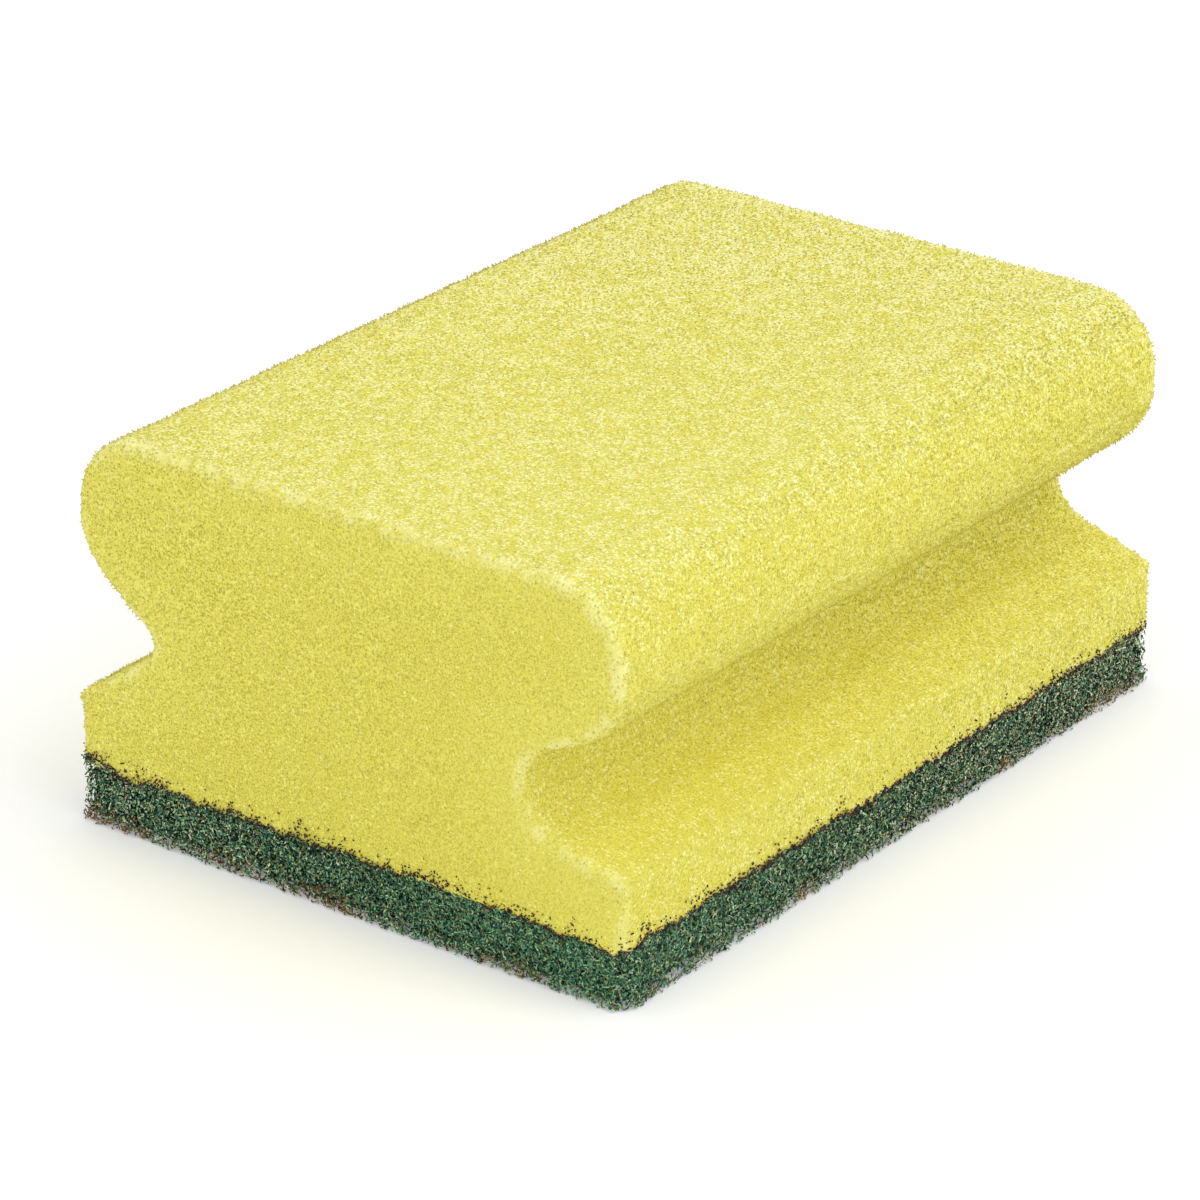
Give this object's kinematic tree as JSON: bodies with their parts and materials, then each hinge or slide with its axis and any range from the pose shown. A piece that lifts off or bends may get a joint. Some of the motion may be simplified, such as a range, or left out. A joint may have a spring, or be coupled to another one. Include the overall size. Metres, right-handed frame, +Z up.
{
  "type": "cleaning sponge",
  "caption": "Dish sponge: a foam block with a rounded grip head and a finger groove along each long side, on a flat scouring pad.",
  "frame": {"origin": "centre of the scouring pad's underside", "axes": "+Z up from the scouring pad to the grip head, +Y along the length and the finger grooves, +X across to the long side with the deeper groove"},
  "size_m": [0.07, 0.095, 0.044],
  "materials": {
    "foam": "open-cell foam, fine pored and matt, lemon yellow",
    "scour": "coarse matted fibre bound with resin, dark green"
  },
  "bodies": {
    "root": {"foam_body": "foam", "scour_pad": "scour"}
  },
  "joints": []
}
